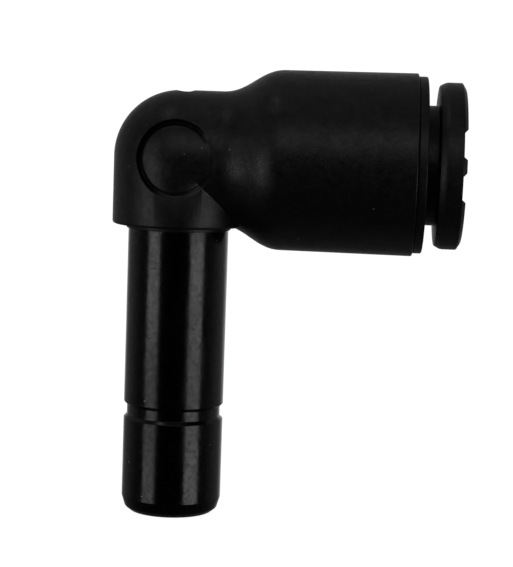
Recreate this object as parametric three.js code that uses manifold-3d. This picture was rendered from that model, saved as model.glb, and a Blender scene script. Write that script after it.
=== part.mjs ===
// Push-to-connect stem elbow: a plastic elbow whose one end takes a tube in a collet, and whose
// other end is a plug-in stem of the same diameter that swivels in the elbow's collar.
//
// Units are millimetres and +Z is up. The origin is the centre of the stem's lower end. The stem
// stands on the Z axis, and the tube port points along +X at the height portZ.
// Pieces of the port are made in a frame whose Y axis is the port's axis, and pieces of the stem in
// a frame whose Y axis is the stem's axis, because a LatheGeometry turns about Y.
import * as THREE from "three";
import { mergeVertices } from "three/addons/utils/BufferGeometryUtils.js";
import Module from "manifold-3d";

const wasm = await Module();
wasm.setup();

// ---------------------------------------------------------------- driving sizes
const tubeDiameter = 8; // the tube that the port takes
const stemDiameter = 8; // the plug-in stem
const stemLength = 23.2; // from the stem's lower end to the collar
const stemWall = 1.1;
const elbowPassageRadius = 2.5; // the air passage from the stem to the tube stop

// Clearances
const swivelClearance = 0.06; // stem to collar bore, radially
const seatGap = 0.04; // between pieces that seat against each other
const slideClearance = 0.1; // collet neck to mouth ring, radially

// Stem, from its lower end upwards
const noseRounding = 0.4; // rounding of the lower edge
const noseInset = 0.25; // how far the tapered nose is inside the stem's radius
const noseTaperLength = 0.75;
const boreChamfer = 0.15;
const gripGrooveHeight = 8.2; // middle of the groove that a port's teeth bite into
const gripGrooveWidth = 1.3;
const gripGrooveDepth = 0.25;
const snapLand = 0.7; // collar edge to snap ring groove
const snapGrooveWidth = 0.5;
const snapGrooveDepth = 0.45; // in the stem
const middleLand = 0.25;
const sealGrooveWidth = 0.85;
const sealGrooveDepth = 0.7;
const topLand = 0.15;

// Bush in the mouth of the collar
const bushWall = 0.34;
const bushSeatDepth = 0.35;
const bushProud = 0.32; // its lip, below the collar
const bushLipWall = 0.1;

// Elbow
const collarWall = 1.24;
const collarChamfer = 0.2;
const snapGrooveInCollar = 0.34; // depth of the collar's half of the snap ring groove
const stemTopGap = 0.05;
const passageFloor = 0.4; // wall between the stem bore and the passage to the port
const padRadius = 2.5; // round pad on each side of the corner, inside a groove
const padGrooveWidth = 0.5;
const padGrooveDepth = 0.3;
const gateRadius = 0.85; // shallow round recess on top, where the mould was filled
const gateDepth = 0.16;
const gateOffset = 0.2; // from the stem's axis towards the port

// Port, from the corner outwards
const stopWall = 0.94; // stem bore to tube stop
const tubeClearance = 0.1; // tube to pilot bore, radially
const pilotLength = 4.4;
const sealSeatLength = 2;
const sealSeatRise = 1.35; // pilot bore to seal seat, radially
const spacerThickness = 0.65;
const spacerBoreRise = 0.1; // pilot bore to spacer bore, radially
const bodyWall = 1.1; // at the mouth
const draftAngle = THREE.MathUtils.degToRad(0.5);
const mouthEdge = 0.12; // chamfer of the body's mouth
const flareStart = 3.3;
const flareLength = 4.9;
const flareHandle = 2.05; // length of the curve's handles, which sets how steep the flare is

// Mouth ring, pressed into the body
const mouthRingWall = 0.66;
const mouthRingStep = 0.24; // its rim is this much smaller than the body, radially
const mouthRingRim = 0.7; // thickness of the rim outside the body
const guideLength = 2.97; // bore that guides the collet
const beadHeight = 0.18;
const beadWidth = 0.7;
const beadFromRim = 4.2; // rim to the middle of the bead

// Collet with its release flange
const colletClearance = 0.08; // tube to collet, radially
const colletWall = 0.66;
const headRise = 0.5; // neck to the arms' heads, radially
const headRoom = 0.2; // heads to the mouth ring, for the arms to open
const headLength = 1.4;
const camLength = 1.1; // cone between head and neck
const travel = 0.92; // how far the flange can be pressed in
const armCount = 8;
const slotWidth = 0.7;
const slotPastCam = 1.3; // slots run on this far past the cone
const flangeRise = 1.86; // neck to flange rim, radially
const flangeThickness = 2.06;
const flangeBackChamfer = [0.28, 0.5]; // radially, axially
const flangeFrontChamfer = [0.5, 0.3];
const tubeLeadIn = 0.5;
const notchDepth = 0.3; // notches in the flange's front face
const notchWidth = 2;
const ribWidth = 1.3; // between the two notches of a pair
const ribLift = 0.3; // middle of the rib above the port's axis
const sides = [-1, 1]; // the pads and the pairs of notches face -Y and +Y

// Steel teeth in the arms
const toothThickness = 0.25;
const toothWidth = 1.7;
const toothBite = 0.12; // how far the tips reach inside the tube's radius
const toothRootInset = 0.25; // roots to the outside of the heads
const toothRootPlace = 0.75; // inner end of the heads to the roots
const toothLean = THREE.MathUtils.degToRad(25);

const turnSegments = 40;
const arcDivisions = 5;

// ---------------------------------------------------------------- sizes that follow
const stemRadius = stemDiameter / 2;
const tubeRadius = tubeDiameter / 2;
const stemPassageRadius = stemRadius - stemWall;
const stemBoreRadius = stemRadius + swivelClearance;
const elbowRadius = stemBoreRadius + collarWall;
const snapBottom = stemLength + snapLand;
const snapTop = snapBottom + snapGrooveWidth;
const sealBottom = snapTop + middleLand;
const sealTop = sealBottom + sealGrooveWidth;
const stemTop = sealTop + topLand;
const stemShoulder = stemTop + stemTopGap;
const portZ = stemShoulder + passageFloor + elbowPassageRadius;
const bushRadius = stemBoreRadius + bushWall;

const tubeStop = stemBoreRadius + stopWall;
const pilotRadius = tubeRadius + tubeClearance;
const sealSeat = tubeStop + pilotLength;
const sealSeatRadius = pilotRadius + sealSeatRise;
const spacerSeat = sealSeat + sealSeatLength;
const ringInnerEnd = spacerSeat + spacerThickness + 2 * seatGap;

const colletBore = tubeRadius + colletClearance;
const neckRadius = colletBore + colletWall;
const headRadius = neckRadius + headRise;
const headStart = ringInnerEnd + travel + 2 * seatGap;
const camStart = headStart + headLength;
const camEnd = camStart + camLength;
const ringChamberRadius = headRadius + headRoom;
const ringBoreRadius = neckRadius + slideClearance;
const ringRadius = ringChamberRadius + mouthRingWall;
const ringSeatRadius = ringRadius + seatGap;
const guideStart = camEnd + seatGap;
const bodyEnd = guideStart + guideLength;
const bodyRadius = ringSeatRadius + bodyWall;
const flareEnd = flareStart + flareLength;
const flareRadius = bodyRadius - (bodyEnd - flareEnd) * Math.tan(draftAngle);
const rimStart = bodyEnd + seatGap;
const rimEnd = rimStart + mouthRingRim;
const rimRadius = bodyRadius - mouthRingStep;
const beadMiddle = rimStart - beadFromRim;
const flangeStart = rimEnd + travel + seatGap;
const flangeEnd = flangeStart + flangeThickness;
const flangeRadius = neckRadius + flangeRise;

// ---------------------------------------------------------------- solids
// A closed outline of [radius, height] points turned about Y. It may hold a THREE.Path too.
function turned(outline) {
  const points = outline.getPoints(arcDivisions);
  if (!points[0].equals(points.at(-1))) points.push(points[0].clone());
  if (THREE.ShapeUtils.area(points) < 0) points.reverse();
  return new THREE.LatheGeometry(points, turnSegments);
}

// An outline through [radius, height] corners.
function corners(list) {
  const path = new THREE.Path();
  path.setFromPoints(list.map(([radius, height]) => new THREE.Vector2(radius, height)));
  path.closePath();
  return path;
}

// A closed geometry as a manifold-3d solid, and back.
function solid(geometry) {
  const bare = geometry.clone();
  bare.deleteAttribute("normal");
  bare.deleteAttribute("uv");
  const merged = mergeVertices(bare, 1e-5);
  return new wasm.Manifold(
    new wasm.Mesh({
      numProp: 3,
      vertProperties: merged.attributes.position.array,
      triVerts: new Uint32Array(merged.index.array),
    }),
  );
}

function geometryOf(manifold) {
  const mesh = manifold.getMesh();
  const geometry = new THREE.BufferGeometry();
  geometry.setAttribute("position", new THREE.BufferAttribute(mesh.vertProperties, 3));
  geometry.setIndex(new THREE.BufferAttribute(mesh.triVerts, 1));
  geometry.computeVertexNormals();
  return geometry;
}

const aboutStem = new THREE.Matrix4().makeRotationX(Math.PI / 2);
const aboutPort = new THREE.Matrix4()
  .makeTranslation(0, 0, portZ)
  .multiply(new THREE.Matrix4().makeRotationZ(-Math.PI / 2));

function solidAbout(axis, outline) {
  return solid(turned(outline).applyMatrix4(axis));
}

// ---------------------------------------------------------------- elbow
// The round corner: the collar with a ball on top, and the arm towards the port.
function corner(radius, edge) {
  const upright = new THREE.Path();
  upright.moveTo(0, stemLength);
  upright.lineTo(radius - edge, stemLength);
  upright.lineTo(radius, stemLength + edge);
  upright.lineTo(radius, portZ);
  upright.absarc(0, portZ, radius, 0, Math.PI / 2);
  const arm = corners([
    [0, 0],
    [radius, 0],
    [radius, flareStart],
    [0, flareStart],
  ]);
  return solidAbout(aboutStem, upright).add(solidAbout(aboutPort, arm));
}

function socket() {
  const outline = new THREE.Path();
  outline.moveTo(0, flareStart);
  outline.lineTo(elbowRadius, flareStart);
  outline.bezierCurveTo(
    elbowRadius,
    flareStart + flareHandle,
    flareRadius,
    flareEnd - flareHandle,
    flareRadius,
    flareEnd,
  );
  outline.lineTo(bodyRadius, bodyEnd - mouthEdge);
  outline.lineTo(bodyRadius - mouthEdge, bodyEnd);
  outline.lineTo(0, bodyEnd);
  return solidAbout(aboutPort, outline);
}

// The groove round one side's pad. It ends on a smaller corner, which keeps it equally deep all
// over the curved wall.
function padGroove(side, floor) {
  const past = elbowRadius + padGrooveDepth;
  const outer = padRadius + padGrooveWidth;
  const ring = turned(
    corners([
      [padRadius, 0],
      [outer, 0],
      [outer, past],
      [padRadius, past],
    ]),
  );
  ring.rotateX(side > 0 ? 0 : Math.PI);
  ring.translate(0, 0, portZ);
  return solid(ring).subtract(floor);
}

function stemCavity() {
  const mouth = stemLength - collarWall;
  const collarGroove = stemBoreRadius + snapGrooveInCollar;
  const bushSeatRadius = bushRadius + seatGap;
  const bushSeat = stemLength + bushSeatDepth;
  const bore = new THREE.Path();
  bore.moveTo(0, mouth);
  bore.lineTo(bushSeatRadius, mouth);
  bore.lineTo(bushSeatRadius, bushSeat);
  bore.lineTo(stemBoreRadius, bushSeat);
  bore.lineTo(stemBoreRadius, snapBottom);
  bore.lineTo(collarGroove, snapBottom);
  bore.lineTo(collarGroove, snapTop);
  bore.lineTo(stemBoreRadius, snapTop);
  bore.lineTo(stemBoreRadius, stemShoulder);
  bore.lineTo(elbowPassageRadius, stemShoulder);
  bore.lineTo(elbowPassageRadius, portZ);
  bore.absarc(0, portZ, elbowPassageRadius, 0, Math.PI / 2);
  return solidAbout(aboutStem, bore);
}

function portCavity() {
  const past = bodyEnd + bodyWall;
  const groove = ringSeatRadius + beadHeight;
  const halfGroove = beadWidth / 2 + seatGap;
  return solidAbout(
    aboutPort,
    corners([
      [0, 0],
      [elbowPassageRadius, 0],
      [elbowPassageRadius, tubeStop],
      [pilotRadius, tubeStop],
      [pilotRadius, sealSeat],
      [sealSeatRadius, sealSeat],
      [sealSeatRadius, spacerSeat],
      [ringSeatRadius, spacerSeat],
      [ringSeatRadius, beadMiddle - halfGroove],
      [groove, beadMiddle],
      [groove, beadMiddle + halfGroove],
      [ringSeatRadius, beadMiddle + halfGroove],
      [ringSeatRadius, past],
      [0, past],
    ]),
  );
}

function gateRecess() {
  const cut = new THREE.CylinderGeometry(gateRadius, gateRadius, 2 * gateDepth, turnSegments / 2);
  cut.rotateX(Math.PI / 2);
  cut.translate(gateOffset, 0, portZ + elbowRadius);
  return solid(cut);
}

function elbowBody() {
  let body = corner(elbowRadius, collarChamfer).add(socket());
  const floor = corner(elbowRadius - padGrooveDepth, collarChamfer);
  const grooves = sides.map((side) => padGroove(side, floor));
  for (const hollow of [...grooves, stemCavity(), portCavity(), gateRecess()]) {
    body = body.subtract(hollow);
  }
  return geometryOf(body);
}

// ---------------------------------------------------------------- pieces on the stem's axis
function stem() {
  const noseRadius = stemRadius - noseInset;
  const nose = noseRounding + noseTaperLength;
  const grooveRadius = stemRadius - gripGrooveDepth;
  const grooveBottom = gripGrooveHeight - gripGrooveWidth / 2;
  const grooveTop = gripGrooveHeight + gripGrooveWidth / 2;
  const outline = new THREE.Path();
  outline.moveTo(stemPassageRadius + boreChamfer, 0);
  outline.lineTo(noseRadius - noseRounding, 0);
  outline.absarc(noseRadius - noseRounding, noseRounding, noseRounding, -Math.PI / 2, 0);
  outline.lineTo(stemRadius, nose);
  outline.lineTo(stemRadius, grooveBottom);
  outline.lineTo(grooveRadius, grooveBottom + gripGrooveDepth);
  outline.lineTo(grooveRadius, grooveTop - gripGrooveDepth);
  outline.lineTo(stemRadius, grooveTop);
  outline.lineTo(stemRadius, snapBottom);
  outline.lineTo(stemRadius - snapGrooveDepth, snapBottom);
  outline.lineTo(stemRadius - snapGrooveDepth, snapTop);
  outline.lineTo(stemRadius, snapTop);
  outline.lineTo(stemRadius, sealBottom);
  outline.lineTo(stemRadius - sealGrooveDepth, sealBottom);
  outline.lineTo(stemRadius - sealGrooveDepth, sealTop);
  outline.lineTo(stemRadius, sealTop);
  outline.lineTo(stemRadius, stemTop);
  outline.lineTo(stemPassageRadius, stemTop);
  outline.lineTo(stemPassageRadius, boreChamfer);
  return turned(outline);
}

// A ring of round section between two radii, in the middle of a groove.
function oRing(innerRadius, outerRadius, middle) {
  const section = (outerRadius - innerRadius) / 2;
  const outline = new THREE.Path();
  outline.absarc((innerRadius + outerRadius) / 2, middle, section, 0, 2 * Math.PI);
  return turned(outline);
}

function stemORing() {
  return oRing(
    stemRadius - sealGrooveDepth + seatGap / 2,
    stemBoreRadius - seatGap / 2,
    (sealBottom + sealTop) / 2,
  );
}

// An open ring that sits half in the stem's groove and half in the collar's.
function stemSnapRing() {
  const inner = stemRadius - snapGrooveDepth + seatGap;
  const outer = stemBoreRadius + snapGrooveInCollar - seatGap;
  const bottom = snapBottom + seatGap;
  const top = snapTop - seatGap;
  const ring = turned(
    corners([
      [inner, bottom],
      [outer, bottom],
      [outer, top],
      [inner, top],
    ]),
  );
  const opening = new THREE.BoxGeometry(2 * outer, 4 * snapGrooveWidth, outer / 3);
  opening.translate(outer, (bottom + top) / 2, 0);
  return geometryOf(solid(ring).subtract(solid(opening)));
}

function stemBush() {
  const bottom = stemLength - bushProud;
  const top = stemLength + bushSeatDepth - seatGap;
  const lipRadius = stemBoreRadius + bushLipWall;
  return turned(
    corners([
      [stemBoreRadius, bottom],
      [lipRadius, bottom],
      [lipRadius, stemLength],
      [bushRadius, stemLength],
      [bushRadius, top],
      [stemBoreRadius, top],
    ]),
  );
}

// ---------------------------------------------------------------- pieces on the port's axis
function tubeSeal() {
  return oRing(
    tubeRadius - toothBite - seatGap,
    sealSeatRadius - seatGap / 2,
    (sealSeat + spacerSeat) / 2,
  );
}

function spacerWasher() {
  const inner = pilotRadius + spacerBoreRise;
  const back = spacerSeat + seatGap;
  return turned(
    corners([
      [inner, back],
      [ringRadius, back],
      [ringRadius, back + spacerThickness],
      [inner, back + spacerThickness],
    ]),
  );
}

function mouthRing() {
  const halfBead = beadWidth / 2;
  const rimChamfer = mouthEdge;
  return turned(
    corners([
      [ringChamberRadius, ringInnerEnd + seatGap],
      [ringRadius, ringInnerEnd + seatGap],
      [ringRadius, beadMiddle - halfBead],
      [ringRadius + beadHeight, beadMiddle],
      [ringRadius + beadHeight, beadMiddle + halfBead],
      [ringRadius, beadMiddle + halfBead],
      [ringRadius, rimStart],
      [rimRadius, rimStart],
      [rimRadius, rimEnd - rimChamfer],
      [rimRadius - rimChamfer, rimEnd],
      [ringBoreRadius, rimEnd],
      [ringBoreRadius, guideStart],
      [ringChamberRadius, guideStart - camLength * (ringChamberRadius - ringBoreRadius) / headRise],
    ]),
  );
}

// One tooth, or its pocket, which is larger by gap all round. It stands on the port's +X side, and
// its tip leans away from the mouth, so that it bites when the tube is pulled out.
function toothBlank(gap) {
  const tip = tubeRadius - toothBite;
  const root = headRadius - toothRootInset;
  const rootEdge = headStart + toothRootPlace;
  const tipEdge = rootEdge - (root - tip) * Math.tan(toothLean);
  const edge = toothThickness / Math.cos(toothLean);
  const creep = gap * Math.tan(toothLean);
  const section = new THREE.Shape();
  section.moveTo(tip - gap, tipEdge - creep - gap);
  section.lineTo(root + gap, rootEdge + creep - gap);
  section.lineTo(root + gap, rootEdge + creep + edge + gap);
  section.lineTo(tip - gap, tipEdge - creep + edge + gap);
  const width = toothWidth + 2 * gap;
  const blank = new THREE.ExtrudeGeometry(section, { depth: width, bevelEnabled: false });
  blank.translate(0, 0, -width / 2);
  return blank;
}

const armPitch = (2 * Math.PI) / armCount;

function toothAt(arm, gap) {
  return toothBlank(gap).rotateY((arm + 0.5) * armPitch);
}

// The cut between two arms.
function slotAt(arm) {
  const length = camEnd + slotPastCam - headStart;
  const reach = 2 * headRadius;
  const slot = new THREE.BoxGeometry(reach, 2 * length, slotWidth);
  slot.translate(reach / 2, headStart, 0);
  return slot.rotateY(arm * armPitch);
}

// A notch beside the rib on one side of the flange, above the rib or below it.
function notchAt(side, updown) {
  const notch = new THREE.BoxGeometry(2 * flangeRadius, 2 * notchDepth, notchWidth);
  const beside = updown * (ribWidth + notchWidth) / 2;
  return notch.translate(side * flangeRadius, flangeEnd, ribLift + beside);
}

function releaseCollet() {
  const [backIn, backAlong] = flangeBackChamfer;
  const [frontIn, frontAlong] = flangeFrontChamfer;
  const blank = turned(
    corners([
      [colletBore, headStart],
      [headRadius, headStart],
      [headRadius, camStart],
      [neckRadius, camEnd],
      [neckRadius, flangeStart],
      [flangeRadius - backIn, flangeStart],
      [flangeRadius, flangeStart + backAlong],
      [flangeRadius, flangeEnd - frontAlong],
      [flangeRadius - frontIn, flangeEnd],
      [colletBore + tubeLeadIn, flangeEnd],
      [colletBore, flangeEnd - tubeLeadIn],
    ]),
  );
  let collet = solid(blank);
  for (let arm = 0; arm < armCount; arm += 1) {
    collet = collet.subtract(solid(slotAt(arm)));
    collet = collet.subtract(solid(toothAt(arm, seatGap)));
  }
  for (const side of sides) {
    for (const updown of [-1, 1]) collet = collet.subtract(solid(notchAt(side, updown)));
  }
  return geometryOf(collet);
}

// ---------------------------------------------------------------- materials
function plastic(color, roughness) {
  return new THREE.MeshStandardMaterial({ color, roughness, metalness: 0 });
}

const mattNylon = () => plastic(0x17181a, 0.62);
const glossNylon = () => plastic(0x0b0b0c, 0.22);
const acetal = () => plastic(0x1b1c1e, 0.45);
const rubber = () => plastic(0x101010, 0.8);
const steel = () =>
  new THREE.MeshStandardMaterial({ color: 0xb4b6b8, roughness: 0.3, metalness: 1 });

// ---------------------------------------------------------------- assembly
function piece(name, geometry, material) {
  const mesh = new THREE.Mesh(geometry, material);
  mesh.name = name;
  return mesh;
}

const stemAxis = new THREE.Group();
stemAxis.applyMatrix4(aboutStem);
stemAxis.add(
  piece("stem", stem(), glossNylon()),
  piece("stem_o_ring", stemORing(), rubber()),
  piece("stem_snap_ring", stemSnapRing(), steel()),
  piece("stem_bush", stemBush(), acetal()),
);

const portAxis = new THREE.Group();
portAxis.applyMatrix4(aboutPort);
portAxis.add(
  piece("tube_seal", tubeSeal(), rubber()),
  piece("seal_spacer", spacerWasher(), acetal()),
  piece("mouth_ring", mouthRing(), acetal()),
  piece("release_collet", releaseCollet(), acetal()),
);
for (let arm = 0; arm < armCount; arm += 1) {
  portAxis.add(piece(`grip_tooth_${arm + 1}`, toothAt(arm, 0), steel()));
}

const fitting = new THREE.Group();
fitting.add(stemAxis, portAxis, piece("elbow_body", elbowBody(), mattNylon()));

export default fitting;
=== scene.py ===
"""Looks of the push-to-connect stem elbow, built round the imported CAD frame."""

import math

import bmesh
import bpy
from mathutils import Matrix, Vector


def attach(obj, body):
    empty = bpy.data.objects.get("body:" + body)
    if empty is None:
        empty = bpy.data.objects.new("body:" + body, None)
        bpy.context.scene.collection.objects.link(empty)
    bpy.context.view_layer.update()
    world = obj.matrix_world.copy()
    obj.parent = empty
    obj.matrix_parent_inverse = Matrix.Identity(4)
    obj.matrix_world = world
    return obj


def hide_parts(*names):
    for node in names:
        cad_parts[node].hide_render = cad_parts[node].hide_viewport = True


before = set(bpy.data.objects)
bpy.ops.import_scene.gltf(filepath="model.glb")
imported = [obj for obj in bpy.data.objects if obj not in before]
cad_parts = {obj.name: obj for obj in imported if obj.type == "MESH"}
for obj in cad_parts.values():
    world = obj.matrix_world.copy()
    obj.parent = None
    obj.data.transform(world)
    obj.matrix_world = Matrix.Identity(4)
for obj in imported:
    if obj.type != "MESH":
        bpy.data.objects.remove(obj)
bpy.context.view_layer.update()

MM = 0.001
TURN = 256  # steps round a solid of revolution
PHASE = 0.37  # share of a step by which the first ring is off the planes that cuts lie in

# ------------------------------------------------------------------ sizes, in millimetres
# Stem, by radius and by height above its lower end
STEM_R = 4.0
STEM_LEN = 23.2
BORE_R = 2.9
NOSE_R = 3.75
GRIP_FLOOR_R = 3.75
SNAP_FLOOR_R = 3.55
SEAL_FLOOR_R = 3.3
SNAP_LOW, SNAP_HIGH = 23.9, 24.4
SEAL_LOW, SEAL_HIGH = 24.65, 25.5
STEM_TOP = 25.65

# Collar and corner
ELBOW_R = 5.3
PORT_Z = 28.6
PASSAGE_R = 2.5
COLLAR_BORE = 4.06
COLLAR_TOP = 25.7
BUSH_R, BUSH_SEAT_R = 4.4, 4.44
BUSH_LIP_R = 4.16
BUSH_LOW, BUSH_TOP, BUSH_SEAT_TOP = 22.88, 23.51, 23.55
PAD_LID = 6.0  # distance from the middle plane that the groove cutter reaches out to
GATE_FLOOR = 5.08  # above the port's axis
GATE_X = 0.25
GATE_STRETCH = 1.55  # its length across the fitting over its length along it

# Port, by radius and by distance from the stem's axis
ARM_R = ELBOW_R + 0.004  # just off the corner's radius, so that the two surfaces never coincide
BODY_R = 7.24
BODY_END = 18.64
DRAFT = math.radians(0.5)
FLARE_START = 3.3
FLARE_LEN = 4.9
FLARE_HANDLE = 2.05
FLARE_R = BODY_R - (BODY_END - FLARE_START - FLARE_LEN) * math.tan(DRAFT)
PILOT_R = 4.1
TUBE_STOP = 5
SEAT_R = 5.45
SEAT_START, SEAT_END = 9.4, 11.4
PRESS_R = 6.14
BEAD_R, BEAD_SEAT_R = 6.28, 6.32
BEAD_START, BEAD_TOP, BEAD_END = 14.09, 14.48, 14.87
RIM_START = 18.68
RIM_END = 19.38
RIM_R = 7.0
RING_R = 6.1
RING_START = 12.17
RING_BORE_R = 5.44
GUIDE_R = 4.84
CONE_START, GUIDE_START = 14.39, 15.71
WASHER_START, WASHER_END = 11.44, 12.09
WASHER_BORE_R = 4.2

# Collet
COLLET_BORE = 4.08
COLLET_START = 13.13
HEAD_R = 5.24
HEAD_END = 14.53
NECK_R = 4.74
NECK_START = 15.63
ARMS = 8
SLOT_WIDTH = 0.7
SLOT_REACH = 3.8
FLANGE_START = 20.34
FLANGE_END = 22.4
FLANGE_R = 6.6
NOTCH_DEPTH = 0.3
NOTCH_HALF = 1.0
NOTCH_SPREAD = 1.65  # from the middle of a pair to the middle of each notch
NOTCH_RAISE = 0.3  # middle of a pair above the port's axis


# ------------------------------------------------------------------ mesh helpers
def rounded(corners, steps=6):
    """Closed outline of (radius, height, fillet) corners, with each corner rounded to its fillet."""
    out = []
    for i, (r, h, fillet) in enumerate(corners):
        here = Vector((r, h))
        if not fillet:
            out.append(here)
            continue
        back = (Vector(corners[i - 1][:2]) - here).normalized()
        on = (Vector(corners[(i + 1) % len(corners)][:2]) - here).normalized()
        half = back.angle(on) / 2
        centre = here + (back + on).normalized() * (fillet / math.sin(half))
        first = here + back * (fillet / math.tan(half)) - centre
        last = here + on * (fillet / math.tan(half)) - centre
        turn = first.angle_signed(last)
        for k in range(steps + 1):
            out.append(centre + Matrix.Rotation(-turn * k / steps, 2) @ first)
    return out


def arc(centre, radius, start, end, steps):
    """Points on an arc, with angles in degrees from +radius towards +height."""
    return [
        Vector(centre)
        + radius
        * Vector(
            (
                math.cos(math.radians(start + (end - start) * k / steps)),
                math.sin(math.radians(start + (end - start) * k / steps)),
            )
        )
        for k in range(steps + 1)
    ]


def about_stem(r, h, a):
    return Vector((r * math.cos(a), r * math.sin(a), h))


def about_port(r, h, a):
    return Vector((h, r * math.cos(a), PORT_Z + r * math.sin(a)))


def turned(name, outline, place, turn=TURN):
    """A solid of revolution from a closed outline of (radius, height) points."""
    bm = bmesh.new()
    rings = []
    for k in range(turn):
        a = 2 * math.pi * (k + PHASE) / turn
        rings.append([bm.verts.new(place(max(p[0], 0.0), p[1], a)) for p in outline])
    for k in range(turn):
        here, there = rings[k], rings[(k + 1) % turn]
        for i in range(len(outline)):
            j = (i + 1) % len(outline)
            bm.faces.new((here[i], here[j], there[j], there[i]))
    return finished(name, bm)


def finished(name, bm):
    """Closes up what meets, points the faces out and makes the object."""
    bmesh.ops.remove_doubles(bm, verts=bm.verts, dist=1e-5)
    bmesh.ops.dissolve_degenerate(bm, edges=bm.edges, dist=1e-6)
    loose = [edge for edge in bm.edges if not edge.link_faces]
    bmesh.ops.delete(bm, geom=loose, context="EDGES")
    bmesh.ops.recalc_face_normals(bm, faces=bm.faces)
    if bm.calc_volume(signed=True) < 0:
        bmesh.ops.reverse_faces(bm, faces=bm.faces)
    mesh = bpy.data.meshes.new(name)
    bm.to_mesh(mesh)
    bm.free()
    obj = bpy.data.objects.new(name, mesh)
    bpy.context.scene.collection.objects.link(obj)
    return obj


def block(name, size, matrix):
    """A box of a size in millimetres, put in place by a matrix."""
    bm = bmesh.new()
    bmesh.ops.create_cube(bm, size=1, matrix=matrix @ Matrix.Diagonal((*size, 1)))
    return finished(name, bm)


def combine(base, tool, operation):
    """Joins tool to base or cuts it away, and removes it."""
    modifier = base.modifiers.new("combine", "BOOLEAN")
    modifier.operation = operation
    modifier.solver = "EXACT"
    modifier.object = tool
    graph = bpy.context.evaluated_depsgraph_get()
    made = bpy.data.meshes.new_from_object(base.evaluated_get(graph))
    base.modifiers.clear()
    old = base.data
    base.data = made
    bpy.data.meshes.remove(old)
    bpy.data.objects.remove(tool)
    return base


def smooth(obj, angle=28):
    """Brings the mesh to metres, with smooth shading that keeps real edges sharp and flat faces flat."""
    mesh = obj.data
    mesh.transform(Matrix.Scale(MM, 4))
    mesh.polygons.foreach_set("use_smooth", [True] * len(mesh.polygons))
    mesh.set_sharp_from_angle(angle=math.radians(angle))
    weighted = obj.modifiers.new("weighted", "WEIGHTED_NORMAL")
    weighted.keep_sharp = True
    weighted.weight = 100
    return obj


# ------------------------------------------------------------------ elbow body
def elbow_outside():
    edge = rounded([(0, STEM_LEN, 0), (ELBOW_R, STEM_LEN, 0.22), (ELBOW_R, PORT_Z, 0)])
    upright = turned("elbow_shell", edge + arc((0, PORT_Z), ELBOW_R, 0, 90, 64)[1:], about_stem)
    flare = []
    flare_end = FLARE_START + FLARE_LEN
    radii = (ARM_R, ARM_R, FLARE_R, FLARE_R)
    heights = (FLARE_START, FLARE_START + FLARE_HANDLE, flare_end - FLARE_HANDLE, flare_end)
    for k in range(41):
        t = k / 40
        weights = ((1 - t) ** 3, 3 * t * (1 - t) ** 2, 3 * t * t * (1 - t), t**3)
        r = sum(w * value for w, value in zip(weights, radii))
        h = sum(w * value for w, value in zip(weights, heights))
        flare.append(Vector((r, h)))
    mouth = rounded([(FLARE_R, flare_end, 0), (BODY_R, BODY_END, 0.12), (0, BODY_END, 0)])
    start = [Vector((0, -0.013)), Vector((ARM_R, -0.013))]  # just past the stem's axis
    socket = turned("socket", [*start, *flare, *mouth[1:]], about_port)
    return combine(upright, socket, "UNION")


# How deep the groove round a pad is at a distance from the pad's centre; below 0 it is clear of it
PAD_GROOVE = (
    (2.38, -0.06), (2.48, -0.012), (2.56, 0.02), (2.61, 0.1), (2.66, 0.32), (2.72, 0.55), (2.8, 0.68),
    (2.87, 0.62), (2.97, 0.38), (3.04, 0.14), (3.08, 0.03), (3.13, -0.012), (3.22, -0.1),
)
# The share of that depth at an angle from the port's axis, in degrees
PAD_SHARES = (
    (0, 0.03), (28, 0.05), (42, 0.3), (65, 1.0), (215, 1.0),
    (245, 0.35), (262, 0.18), (305, 0.18), (330, 0.03), (360, 0.03),
)


def between(stops, place):
    """The value at a place, from (place, value) stops with straight lines between them."""
    for (a, low), (b, high) in zip(stops, stops[1:]):
        if place <= b:
            return low + (high - low) * (place - a) / (b - a)
    return stops[-1][1]


def corner_depth(x, up):
    """How far the round corner's surface is in front of the fitting's middle plane."""
    upright = ELBOW_R**2 - x * x - max(up, 0.0) ** 2
    arm = ARM_R**2 - up * up if x > 0 else 0.0
    return math.sqrt(max(upright, arm))


def groove_cutter(side, steps=160):
    """What is cut away round one side's pad, from the groove's floor outwards."""
    bm = bmesh.new()
    spokes = []
    for k in range(steps):
        a = 2 * math.pi * k / steps
        floor = []
        share = between(PAD_SHARES, math.degrees(a))
        for r, deep in PAD_GROOVE:
            x, up = r * math.cos(a), r * math.sin(a)
            sunk = deep * share if deep > 0 else deep
            floor.append(bm.verts.new((x, side * (corner_depth(x, up) - sunk), PORT_Z + up)))
        lid = []
        for r in (PAD_GROOVE[-1][0], PAD_GROOVE[0][0]):
            lid.append(bm.verts.new((r * math.cos(a), side * PAD_LID, PORT_Z + r * math.sin(a))))
        spokes.append(floor + lid)
    for here, there in zip(spokes, spokes[1:] + spokes[:1]):
        for i in range(len(here)):
            j = (i + 1) % len(here)
            bm.faces.new((here[i], here[j], there[j], there[i]))
    bmesh.ops.triangulate(bm, faces=bm.faces)
    return finished("groove", bm)


def stem_hollow():
    """The collar's bore with its seats for the bush and the snap ring, and the passage round the corner."""
    steps = [
        (0, 21.96), (BUSH_SEAT_R, 21.96), (BUSH_SEAT_R, BUSH_SEAT_TOP), (COLLAR_BORE, BUSH_SEAT_TOP),
        (COLLAR_BORE, SNAP_LOW), (BUSH_R, SNAP_LOW), (BUSH_R, SNAP_HIGH), (COLLAR_BORE, SNAP_HIGH),
        (COLLAR_BORE, COLLAR_TOP), (PASSAGE_R, COLLAR_TOP),
    ]
    corner = arc((0, PORT_Z), PASSAGE_R, 0, 90, 16)
    return turned("hollow", [Vector(p) for p in steps] + corner, about_stem, 128)


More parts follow.
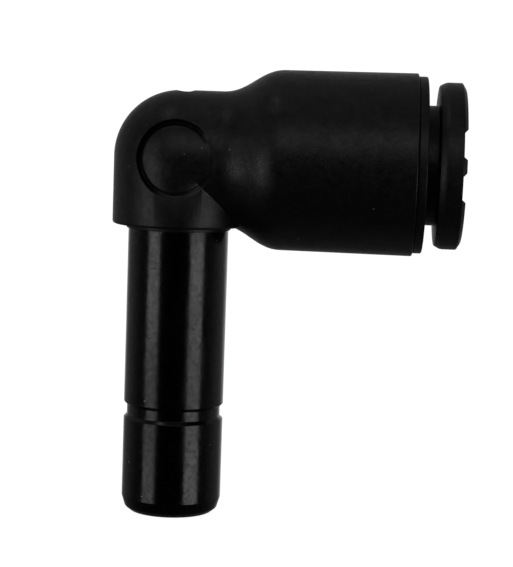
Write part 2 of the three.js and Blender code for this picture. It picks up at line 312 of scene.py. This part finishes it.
def port_hollow():
    """The passage, the pilot bore, the seal's seat and the bore that the mouth ring is pressed into."""
    start = -0.017  # just past the stem's axis, and clear of the socket's own start
    passage_r = PASSAGE_R + 0.004
    past_mouth = 19.74
    steps = [
        (0, start), (passage_r, start), (passage_r, TUBE_STOP), (PILOT_R, TUBE_STOP), (PILOT_R, SEAT_START),
        (SEAT_R, SEAT_START), (SEAT_R, SEAT_END), (PRESS_R, SEAT_END), (PRESS_R, BEAD_START),
        (BEAD_SEAT_R, BEAD_TOP), (BEAD_SEAT_R, BEAD_END), (PRESS_R, BEAD_END), (PRESS_R, past_mouth),
        (0, past_mouth),
    ]
    return turned("hollow", [Vector(p) for p in steps], about_port, 192)


def gate_recess():
    """The shallow oval recess on top of the corner, where the mould was filled."""
    outline = rounded([(0, GATE_FLOOR, 0), (0.76, GATE_FLOOR, 0.05), (0.78, 5.6, 0), (0, 5.6, 0)])

    def over_corner(r, h, a):
        return Vector((GATE_X + r * math.cos(a), GATE_STRETCH * r * math.sin(a), PORT_Z + h))

    return turned("gate", outline, over_corner, 64)


def elbow_body():
    body = elbow_outside()
    for side in (-1, 1):
        combine(body, groove_cutter(side), "DIFFERENCE")
    combine(body, stem_hollow(), "DIFFERENCE")
    combine(body, port_hollow(), "DIFFERENCE")
    combine(body, gate_recess(), "DIFFERENCE")
    return smooth(body)


# ------------------------------------------------------------------ stem
def stem_tube():
    corners = [
        (3.05, 0, 0.03), (3.35, 0, 0), (NOSE_R, 0.32, 0.3), (STEM_R, 1.15, 0.25), (STEM_R, 7.55, 0.07),
        (GRIP_FLOOR_R, 7.8, 0.07), (GRIP_FLOOR_R, 8.6, 0.07), (STEM_R, 8.85, 0.07), (STEM_R, SNAP_LOW, 0),
        (SNAP_FLOOR_R, SNAP_LOW, 0), (SNAP_FLOOR_R, SNAP_HIGH, 0), (STEM_R, SNAP_HIGH, 0),
        (STEM_R, SEAL_LOW, 0), (SEAL_FLOOR_R, SEAL_LOW, 0), (SEAL_FLOOR_R, SEAL_HIGH, 0),
        (STEM_R, SEAL_HIGH, 0), (STEM_R, STEM_TOP, 0), (BORE_R, STEM_TOP, 0), (BORE_R, 0.15, 0.03),
    ]
    return smooth(turned("stem_tube", rounded(corners), about_stem))


def bush():
    corners = [
        (COLLAR_BORE, BUSH_LOW, 0), (BUSH_LIP_R, BUSH_LOW, 0.04), (BUSH_LIP_R, STEM_LEN, 0),
        (BUSH_R, STEM_LEN, 0), (BUSH_R, BUSH_TOP, 0), (COLLAR_BORE, BUSH_TOP, 0),
    ]
    return smooth(turned("collar_bush", rounded(corners), about_stem))


# ------------------------------------------------------------------ port
def mouth_rim():
    corners = [
        (RING_BORE_R, RING_START, 0), (RING_R, RING_START, 0), (RING_R, 14.13, 0), (BEAD_R, BEAD_TOP, 0),
        (BEAD_R, 14.83, 0), (RING_R, 14.83, 0), (RING_R, RIM_START, 0), (RIM_R, RIM_START, 0.06),
        (RIM_R, RIM_END, 0.12), (GUIDE_R, RIM_END, 0.06), (GUIDE_R, GUIDE_START, 0),
        (RING_BORE_R, CONE_START, 0),
    ]
    return smooth(turned("mouth_rim", rounded(corners), about_port))


def collet():
    corners = [
        (COLLET_BORE, COLLET_START, 0), (HEAD_R, COLLET_START, 0.1), (HEAD_R, HEAD_END, 0.05),
        (NECK_R, NECK_START, 0.05), (NECK_R, FLANGE_START, 0.14), (6.32, FLANGE_START, 0.1),
        (FLANGE_R, 20.84, 0.9), (FLANGE_R, 22.1, 0.16), (6.1, FLANGE_END, 0.3), (4.58, FLANGE_END, 0.12),
        (COLLET_BORE, 21.9, 0.1),
    ]
    part = turned("collet_flange", rounded(corners), about_port)
    slot_size = (2 * SLOT_REACH, SLOT_WIDTH, 2 * 2.6)
    for arm in range(ARMS):
        around = Matrix.Rotation(arm * 2 * math.pi / ARMS, 4, "X")
        out = Matrix.Translation((COLLET_START, 0, HEAD_R))
        slot = Matrix.Translation((0, 0, PORT_Z)) @ around @ out
        combine(part, block("slot", slot_size, slot), "DIFFERENCE")
    for side in (-1, 1):
        for half in (-1, 1):
            z = PORT_Z + NOTCH_RAISE + half * NOTCH_SPREAD
            place = Matrix.Translation((FLANGE_END, side * FLANGE_R, z))
            combine(part, notch(place), "DIFFERENCE")
    return smooth(part)


def notch(place):
    """What is cut away for a notch: a trapezoid, whose end walls slope."""
    bm = bmesh.new()
    reach, slope = 4.0, 0.1
    low, high = NOTCH_HALF - slope, NOTCH_HALF + slope + 0.3
    section = ((-NOTCH_DEPTH, -low), (-NOTCH_DEPTH, low), (NOTCH_DEPTH, high), (NOTCH_DEPTH, -high))
    front, back = [
        [bm.verts.new(place @ Vector((x, y, z))) for x, z in section] for y in (-reach, reach)
    ]
    bm.faces.new(front)
    bm.faces.new(back[::-1])
    for i in range(4):
        j = (i + 1) % 4
        bm.faces.new((front[j], front[i], back[i], back[j]))
    return finished("notch", bm)


def o_ring(name, inner, outer, middle, place):
    section = (outer - inner) / 2
    return smooth(turned(name, arc((inner + section, middle), section, 0, 360, 32)[:-1], place, 160), 80)


def washer():
    corners = [
        (WASHER_BORE_R, WASHER_START, 0.08), (RING_R, WASHER_START, 0),
        (RING_R, WASHER_END, 0), (WASHER_BORE_R, WASHER_END, 0.08),
    ]
    return smooth(turned("seal_washer", rounded(corners), about_port, 160))


# ------------------------------------------------------------------ materials
class Nodes:
    """Short hand for a material's node tree."""

    def __init__(self, name):
        self.material = bpy.data.materials.new(name)
        self.material.use_nodes = True
        self.tree = self.material.node_tree
        self.shader = self.tree.nodes["Principled BSDF"]
        self.coords = self.tree.nodes.new("ShaderNodeTexCoord").outputs["Object"]

    def link(self, source, target):
        self.tree.links.new(source, target)

    def stretched(self, scale):
        mapping = self.tree.nodes.new("ShaderNodeMapping")
        mapping.inputs["Scale"].default_value = scale
        self.link(self.coords, mapping.inputs["Vector"])
        return mapping.outputs["Vector"]

    def noise(self, per_mm, detail=4.0, roughness=0.55, vector=None):
        node = self.tree.nodes.new("ShaderNodeTexNoise")
        node.inputs["Scale"].default_value = per_mm / MM
        node.inputs["Detail"].default_value = detail
        node.inputs["Roughness"].default_value = roughness
        self.link(vector or self.coords, node.inputs["Vector"])
        return node.outputs["Fac"]

    def specks(self, per_mm, size, share):
        """1 in small round specks, in a share of the cells, and 0 between them."""
        node = self.tree.nodes.new("ShaderNodeTexVoronoi")
        node.inputs["Scale"].default_value = per_mm / MM
        self.link(self.coords, node.inputs["Vector"])
        near = self.span(node.outputs["Distance"], size, size * 0.5, 0, 1)
        keep = self.span(node.outputs["Color"], 1 - share, 1 - share + 0.02, 0, 1)
        return self.maths("MULTIPLY", near, keep)

    def span(self, value, low, high, to_low, to_high):
        node = self.tree.nodes.new("ShaderNodeMapRange")
        for key, number in zip(("From Min", "From Max", "To Min", "To Max"), (low, high, to_low, to_high)):
            node.inputs[key].default_value = number
        self.link(value, node.inputs["Value"])
        return node.outputs["Result"]

    def maths(self, operation, a, b):
        node = self.tree.nodes.new("ShaderNodeMath")
        node.operation = operation
        for socket, value in zip(node.inputs, (a, b)):
            if isinstance(value, (int, float)):
                socket.default_value = value
            else:
                self.link(value, socket)
        return node.outputs["Value"]

    def mix(self, factor, a, b):
        node = self.tree.nodes.new("ShaderNodeMix")
        node.data_type = "RGBA"
        self.link(factor, node.inputs["Factor"])
        for socket, value in ((node.inputs["A"], a), (node.inputs["B"], b)):
            if isinstance(value, tuple):
                socket.default_value = (*value, 1.0)
            else:
                self.link(value, socket)
        return node.outputs["Result"]

    def bump(self, height, depth_mm, normal=None):
        node = self.tree.nodes.new("ShaderNodeBump")
        node.inputs["Strength"].default_value = 1.0
        node.inputs["Distance"].default_value = depth_mm * MM
        self.link(height, node.inputs["Height"])
        if normal is not None:
            self.link(normal, node.inputs["Normal"])
        return node.outputs["Normal"]

    def finish(self, colour, roughness, normal):
        self.link(colour, self.shader.inputs["Base Color"])
        self.link(roughness, self.shader.inputs["Roughness"])
        self.link(normal, self.shader.inputs["Normal"])
        return self.material


def matt_nylon():
    n = Nodes("matt_nylon")
    cloud = n.noise(0.45, 5, 0.6)
    mottle = n.noise(2.2, 4, 0.6)
    colour = n.mix(n.span(cloud, 0.4, 0.68, 0, 1), (0.0012, 0.0012, 0.0013), (0.0026, 0.0026, 0.0028))
    scuff = n.span(n.noise(1.1, 6, 0.72), 0.62, 0.74, 0, 1)
    colour = n.mix(scuff, colour, (0.009, 0.009, 0.0095))
    dust = n.specks(0.8, 0.07, 0.4)
    colour = n.mix(dust, colour, (0.2, 0.2, 0.16))
    rough = n.span(mottle, 0.3, 0.7, 0.36, 0.47)
    n.link(n.span(n.noise(0.8, 5, 0.62), 0.3, 0.7, 0.5, 0.8), n.shader.inputs["Specular IOR Level"])
    normal = n.bump(n.noise(8, 3, 0.5), 0.003)
    normal = n.bump(mottle, 0.02, normal)
    return n.finish(colour, rough, normal)


def gloss_nylon():
    n = Nodes("gloss_nylon")
    cloud = n.noise(0.9, 5, 0.6)
    colour = n.mix(n.span(cloud, 0.35, 0.7, 0, 1), (0.0008, 0.0008, 0.0009), (0.002, 0.002, 0.0022))
    dust = n.specks(0.9, 0.075, 0.4)
    colour = n.mix(dust, colour, (0.6, 0.6, 0.5))
    streaks = n.noise(1.2, 4, 0.6, n.stretched((1, 1, 0.3)))
    rough = n.span(streaks, 0.3, 0.75, 0.15, 0.25)
    rough = n.maths("ADD", rough, n.maths("MULTIPLY", dust, 0.4))
    n.link(n.span(n.noise(3.4, 5, 0.7), 0.3, 0.7, 0.24, 0.74), n.shader.inputs["Specular IOR Level"])
    normal = n.bump(n.noise(1.6, 3, 0.55), 0.0095)
    normal = n.bump(n.noise(4.5, 3, 0.6), 0.0025, normal)
    return n.finish(colour, rough, normal)


def acetal():
    n = Nodes("acetal")
    mottle = n.noise(1.8, 4, 0.6)
    colour = n.mix(n.span(mottle, 0.35, 0.7, 0, 1), (0.0014, 0.0014, 0.0015), (0.003, 0.003, 0.0033))
    colour = n.mix(n.specks(0.7, 0.07, 0.3), colour, (0.4, 0.4, 0.28))
    rough = n.span(n.noise(3, 4, 0.6), 0.3, 0.7, 0.38, 0.52)
    n.link(n.span(n.noise(0.8, 5, 0.62), 0.3, 0.7, 0.5, 0.75), n.shader.inputs["Specular IOR Level"])
    normal = n.bump(n.noise(7, 3, 0.5), 0.007)
    return n.finish(colour, rough, normal)


def rubber():
    n = Nodes("nitrile_rubber")
    mottle = n.noise(2.5, 4, 0.6)
    colour = n.mix(mottle, (0.008, 0.008, 0.008), (0.02, 0.02, 0.019))
    rough = n.span(mottle, 0.3, 0.7, 0.6, 0.85)
    return n.finish(colour, rough, n.bump(n.noise(14, 3, 0.6), 0.01))


def steel():
    n = Nodes("spring_steel")
    n.shader.inputs["Metallic"].default_value = 1.0
    streaks = n.noise(3, 4, 0.6, n.stretched((4, 1, 1)))
    colour = n.mix(streaks, (0.42, 0.42, 0.43), (0.62, 0.62, 0.63))
    rough = n.span(streaks, 0.3, 0.7, 0.22, 0.38)
    return n.finish(colour, rough, n.bump(streaks, 0.004))


# ------------------------------------------------------------------ pieces
looks = {
    "matt_nylon": matt_nylon(),
    "gloss_nylon": gloss_nylon(),
    "acetal": acetal(),
    "seal_rubber": rubber(),
    "spring_steel": steel(),
}


def add(piece, body, slot, *nodes):
    piece.data.materials.clear()
    piece.data.materials.append(looks[slot])
    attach(piece, body)
    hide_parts(*nodes)


add(elbow_body(), "elbow", "matt_nylon", "elbow_body")
add(bush(), "elbow", "acetal", "stem_bush")
add(mouth_rim(), "elbow", "acetal", "mouth_ring")
add(washer(), "elbow", "acetal", "seal_spacer")
add(o_ring("port_seal", 3.84, 5.43, 10.4, about_port), "elbow", "seal_rubber", "tube_seal")
add(stem_tube(), "plug_stem", "gloss_nylon", "stem")
add(o_ring("collar_o_ring", 3.32, 4.04, 25.075, about_stem), "plug_stem", "seal_rubber", "stem_o_ring")
add(collet(), "release_button", "acetal", "release_collet")
for name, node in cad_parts.items():
    if name.startswith("grip_tooth") or name == "stem_snap_ring":
        node.data.materials.clear()
        node.data.materials.append(looks["spring_steel"])


# ------------------------------------------------------------------ camera
EYE = Vector((12.53, -147.7, 35.61)) * MM
YAW, DIP, ROLL = (math.radians(a) for a in (2.38, 6.54, 1.965))
LENS, SENSOR = 117.8032, 36
ahead = Vector((-math.sin(YAW) * math.cos(DIP), math.cos(YAW) * math.cos(DIP), -math.sin(DIP)))
right = ahead.cross(Vector((0, 0, 1))).normalized()
up = right.cross(ahead)
across = math.cos(ROLL) * right + math.sin(ROLL) * up
above = -math.sin(ROLL) * right + math.cos(ROLL) * up
camera = bpy.data.objects.new("camera", bpy.data.cameras.new("camera"))
bpy.context.scene.collection.objects.link(camera)
camera.data.sensor_width = SENSOR
camera.data.lens = LENS
camera.data.clip_start, camera.data.clip_end = 0.01, 10
turn_to = Matrix((across, above, -ahead)).transposed().to_4x4()
camera.matrix_world = Matrix.Translation(EYE) @ turn_to
bpy.context.scene.camera = camera


# ------------------------------------------------------------------ studio
AIM = (6, 0, 20)  # what the softboxes face, in millimetres
NEAR, FAR = 0.40, 0.45  # how far away they stand, in metres


def softbox(name, azimuth, elevation, distance, width, height, power):
    """An area light that faces the object. Azimuth 0 is in front, on -Y, and grows towards +X."""
    a, e = math.radians(azimuth), math.radians(elevation)
    out = Vector((math.sin(a) * math.cos(e), -math.cos(a) * math.cos(e), math.sin(e)))
    light = bpy.data.objects.new(name, bpy.data.lights.new(name, "AREA"))
    light.data.shape = "RECTANGLE"
    light.data.size, light.data.size_y = width, height
    light.data.energy = power
    light.location = Vector(AIM) * MM + out * distance
    light.rotation_mode = "QUATERNION"
    light.rotation_quaternion = out.to_track_quat("Z", "Y")
    bpy.context.scene.collection.objects.link(light)
    return light


def graded(light, stops):
    """Makes a softbox weaker at some heights, from (height in millimetres, share) stops."""
    light.data.use_nodes = True
    nodes, links = light.data.node_tree.nodes, light.data.node_tree.links
    split = nodes.new("ShaderNodeSeparateXYZ")
    links.new(nodes.new("ShaderNodeNewGeometry").outputs["Position"], split.inputs[0])
    low, high = stops[0][0], stops[-1][0]
    spread = nodes.new("ShaderNodeMapRange")
    spread.inputs["From Min"].default_value = low * MM
    spread.inputs["From Max"].default_value = high * MM
    links.new(split.outputs["Z"], spread.inputs["Value"])
    shade = nodes.new("ShaderNodeValToRGB")
    while len(shade.color_ramp.elements) < len(stops):
        shade.color_ramp.elements.new(0.5)
    for element, (height, share) in zip(shade.color_ramp.elements, stops):
        element.position = (height - low) / (high - low)
        element.color = (share, share, share, 1)
    links.new(spread.outputs["Result"], shade.inputs["Fac"])
    links.new(shade.outputs["Color"], nodes["Emission"].inputs["Strength"])


LEFT_SHARES = (
    (-115, 0.3), (-92, 0.4), (-83, 0.43), (-71, 0.09), (-56, 0.065),
    (-47, 0.17), (-35, 0.38), (-24, 0.58), (-15, 1.0),
)
RIGHT_SHARES = (
    (-115, 0.45), (-92, 0.62), (-83, 0.58), (-71, 0.15), (-56, 0.13),
    (-47, 0.28), (-35, 0.44), (-24, 0.58), (-15, 1.0),
)
graded(softbox("left_strip", -51.3, -11.6, NEAR, 0.195, 0.1, 0.27), LEFT_SHARES)
graded(softbox("right_strip", 50, -11.6, NEAR, 0.225, 0.1, 0.32), RIGHT_SHARES)
softbox("left_fill", -50, 14, FAR, 0.24, 0.14, 0.052)
softbox("front_bank", 4, 31, FAR, 0.34, 0.14, 0.09)
softbox("overhead", -65, 71, FAR, 0.07, 0.07, 0.028)

BACKDROP = 1.05

# The camera sees white round the object. Every other ray sees a dim room, lighter behind the object
# and near the horizon.
world = bpy.data.worlds.new("studio")
bpy.context.scene.world = world
world.use_nodes = True
tree = world.node_tree
tree.nodes.clear()
output = tree.nodes.new("ShaderNodeOutputWorld")
direction = tree.nodes.new("ShaderNodeTexCoord").outputs["Generated"]
split = tree.nodes.new("ShaderNodeSeparateXYZ")
tree.links.new(direction, split.inputs[0])


def room_light(axis, stops):
    """Radiance of the room along one axis of the direction, from (place, radiance) stops."""
    spread = tree.nodes.new("ShaderNodeMapRange")
    spread.inputs["From Min"].default_value = -1
    tree.links.new(split.outputs[axis], spread.inputs["Value"])
    node = tree.nodes.new("ShaderNodeValToRGB")
    while len(node.color_ramp.elements) < len(stops):
        node.color_ramp.elements.new(0.5)
    for element, (place, radiance) in zip(node.color_ramp.elements, stops):
        element.position = (place + 1) / 2
        element.color = (radiance, radiance, radiance, 1)
    tree.links.new(spread.outputs["Result"], node.inputs["Fac"])
    return node.outputs["Color"]


depth_light = room_light("Y", ((-0.6, 0.0), (0.0, 0.07), (0.4, 0.16), (0.8, 0.2), (0.97, 0.8)))
share = room_light("Z", ((-0.6, 0.25), (-0.3, 0.5), (-0.15, 1.0), (0.1, 0.9), (0.35, 0.5), (1.0, 0.45)))
height_light = room_light("Z", ((-0.9, 0.015), (-0.3, 0.0), (0.1, 0.0), (0.5, 0.06), (0.95, 0.06)))
total = tree.nodes.new("ShaderNodeMath")
total.operation = "MULTIPLY_ADD"
for source, target in zip((depth_light, share, height_light), total.inputs):
    tree.links.new(source, target)
room = tree.nodes.new("ShaderNodeBackground")
tree.links.new(total.outputs[0], room.inputs["Strength"])
room.inputs["Color"].default_value = (1, 1, 1, 1)
seen = tree.nodes.new("ShaderNodeBackground")
seen.inputs["Color"].default_value = (1, 1, 1, 1)
seen.inputs["Strength"].default_value = BACKDROP
rays = tree.nodes.new("ShaderNodeLightPath")
choose = tree.nodes.new("ShaderNodeMixShader")
tree.links.new(rays.outputs["Is Camera Ray"], choose.inputs[0])
tree.links.new(room.outputs[0], choose.inputs[1])
tree.links.new(seen.outputs[0], choose.inputs[2])
tree.links.new(choose.outputs[0], output.inputs["Surface"])
bpy.context.scene.view_settings.view_transform = "Standard"

# A pale floor that the stem's end stands on. It glows for the camera only, and isn't seen in gloss.
bm = bmesh.new()
bmesh.ops.create_circle(bm, cap_ends=True, segments=96, radius=3.0)
floor = finished("floor", bm)
floor.location.z = -0.02 * MM
floor.visible_glossy = floor.visible_diffuse = floor.visible_shadow = False
pale = Nodes("pale_floor")
pale.shader.inputs["Base Color"].default_value = (0.8, 0.8, 0.8, 1)
pale.shader.inputs["Roughness"].default_value = 0.9
glow = pale.tree.nodes.new("ShaderNodeEmission")
glow.inputs["Strength"].default_value = 0.95
path = pale.tree.nodes.new("ShaderNodeLightPath")
both = pale.tree.nodes.new("ShaderNodeAddShader")
choose_floor = pale.tree.nodes.new("ShaderNodeMixShader")
pale.link(pale.shader.outputs[0], both.inputs[0])
pale.link(glow.outputs[0], both.inputs[1])
pale.link(path.outputs["Is Camera Ray"], choose_floor.inputs[0])
pale.link(pale.shader.outputs[0], choose_floor.inputs[1])
pale.link(both.outputs[0], choose_floor.inputs[2])
pale.link(choose_floor.outputs[0], pale.tree.nodes["Material Output"].inputs["Surface"])
floor.data.materials.append(pale.material)
